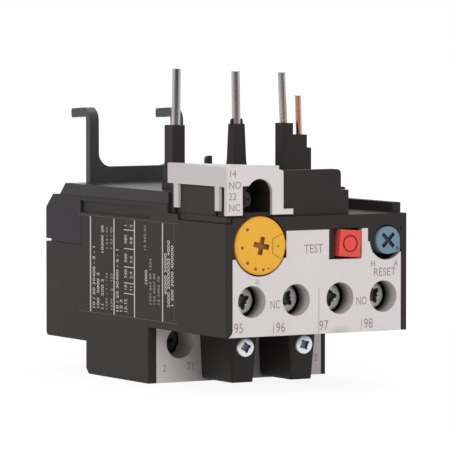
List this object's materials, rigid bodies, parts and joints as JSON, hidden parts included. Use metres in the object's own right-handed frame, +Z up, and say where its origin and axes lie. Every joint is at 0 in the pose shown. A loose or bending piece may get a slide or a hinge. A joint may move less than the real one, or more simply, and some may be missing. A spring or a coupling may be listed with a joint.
{
  "type": "thermal overload relay",
  "caption": "Thermal overload relay with plug-in contact pins, current setting dial, test button, reset knob and screw terminals for main and auxiliary wires.",
  "frame": {"origin": "centre of the footprint of the whole relay, at the level of the lower block's underside", "axes": "+X to the right across the front, +Y from the front face to the rear, +Z up towards the contact pins"},
  "size_m": [0.045, 0.0808, 0.068],
  "materials": {
    "black_plastic": "satin moulded",
    "grey_plastic": "satin moulded",
    "yellow_plastic": "satin moulded",
    "red_plastic": "moulded",
    "blue_plastic": "moulded",
    "brown_plastic": "phenolic",
    "zinc_steel": "zinc plated",
    "tinned_steel": "tinned",
    "copper": "bare copper",
    "brass": "bare brass",
    "bimetal": "rolled strip",
    "spring_steel": "drawn wire"
  },
  "bodies": {
    "case": {"housing_body": "black_plastic", "rear_cap": "black_plastic", "top_cover": "black_plastic", "barrier_post_left": "black_plastic", "barrier_post_right": "black_plastic", "aux_block": "black_plastic", "hook_frame": "black_plastic", "pin_sleeve_1": "black_plastic", "pin_sleeve_2": "black_plastic", "pin_sleeve_3": "black_plastic", "front_cover": "grey_plastic", "terminal_face": "grey_plastic", "top_carrier": "grey_plastic", "contact_base": "brown_plastic", "post_screw_left": "zinc_steel", "post_screw_right": "zinc_steel", "pass_through_terminal": "zinc_steel", "pass_through_screw": "zinc_steel", "lever_pin": "zinc_steel", "contact_pin_1": "tinned_steel", "line_busbar_1": "copper", "main_terminal_1": "zinc_steel", "terminal_screw_1": "zinc_steel", "bimetal_1": "bimetal", "heater_1": "bimetal", "contact_pin_2": "tinned_steel", "line_busbar_2": "copper", "main_terminal_2": "zinc_steel", "terminal_screw_2": "zinc_steel", "bimetal_2": "bimetal", "heater_2": "bimetal", "contact_pin_3": "tinned_steel", "line_busbar_3": "copper", "main_terminal_3": "zinc_steel", "terminal_screw_3": "zinc_steel", "bimetal_3": "bimetal", "heater_3": "bimetal", "aux_terminal_1": "zinc_steel", "aux_screw_1": "zinc_steel", "aux_terminal_2": "zinc_steel", "aux_screw_2": "zinc_steel", "aux_terminal_3": "zinc_steel", "aux_screw_3": "zinc_steel", "aux_terminal_4": "zinc_steel", "aux_screw_4": "zinc_steel", "coil_lead": "copper", "nc_fixed_contacts": "brass", "no_fixed_contacts": "brass"},
    "setting_dial": {"setting_dial": "yellow_plastic"},
    "test_button": {"test_button": "red_plastic", "test_spring": "spring_steel"},
    "reset_plunger": {"reset_plunger": "black_plastic", "reset_spring": "spring_steel"},
    "reset_knob": {"reset_knob": "blue_plastic"},
    "trip_slide": {"trip_slide": "black_plastic"},
    "trip_lever": {"trip_lever": "black_plastic", "compensation_strip": "bimetal"},
    "contact_carrier": {"contact_carrier": "black_plastic", "nc_bridge": "brass", "no_bridge": "brass"}
  },
  "joints": [
    {"name": "dial_turn", "type": "hinge", "parent": "case", "child": "setting_dial", "pos_m": [-0.01405, -0.0396, 0.0314], "axis": [0, -1, 0], "range_deg": [0, 140]},
    {"name": "test_press", "type": "slide", "parent": "case", "child": "test_button", "axis": [0, 1, 0], "range_m": [0, 0.002], "stiffness_N_per_m": 400, "springref_m": -0.0002},
    {"name": "reset_press", "type": "slide", "parent": "case", "child": "reset_plunger", "axis": [0, 1, 0], "range_m": [0, 0.0025], "stiffness_N_per_m": 400, "springref_m": -0.0002},
    {"name": "reset_mode_turn", "type": "hinge", "parent": "reset_plunger", "child": "reset_knob", "pos_m": [0.01745, -0.0396, 0.03165], "axis": [0, 1, 0], "range_deg": [0, 90]},
    {"name": "trip_slide_move", "type": "slide", "parent": "case", "child": "trip_slide", "axis": [1, 0, 0], "range_m": [0, 0.002], "stiffness_N_per_m": 200, "springref_m": -0.0002},
    {"name": "trip_lever_turn", "type": "hinge", "parent": "case", "child": "trip_lever", "pos_m": [0.0175, -0.0096, 0.03285], "axis": [0, 0, -1], "range_deg": [0, 6.6]},
    {"name": "contact_move", "type": "slide", "parent": "case", "child": "contact_carrier", "axis": [-1, 0, 0], "range_m": [0, 0.0017]}
  ],
  "couplings": [
    {"joint": "trip_lever_turn", "follows": "trip_slide_move", "rad_per_m": 55.556},
    {"joint": "contact_move", "follows": "trip_slide_move", "ratio": 0.83333}
  ]
}
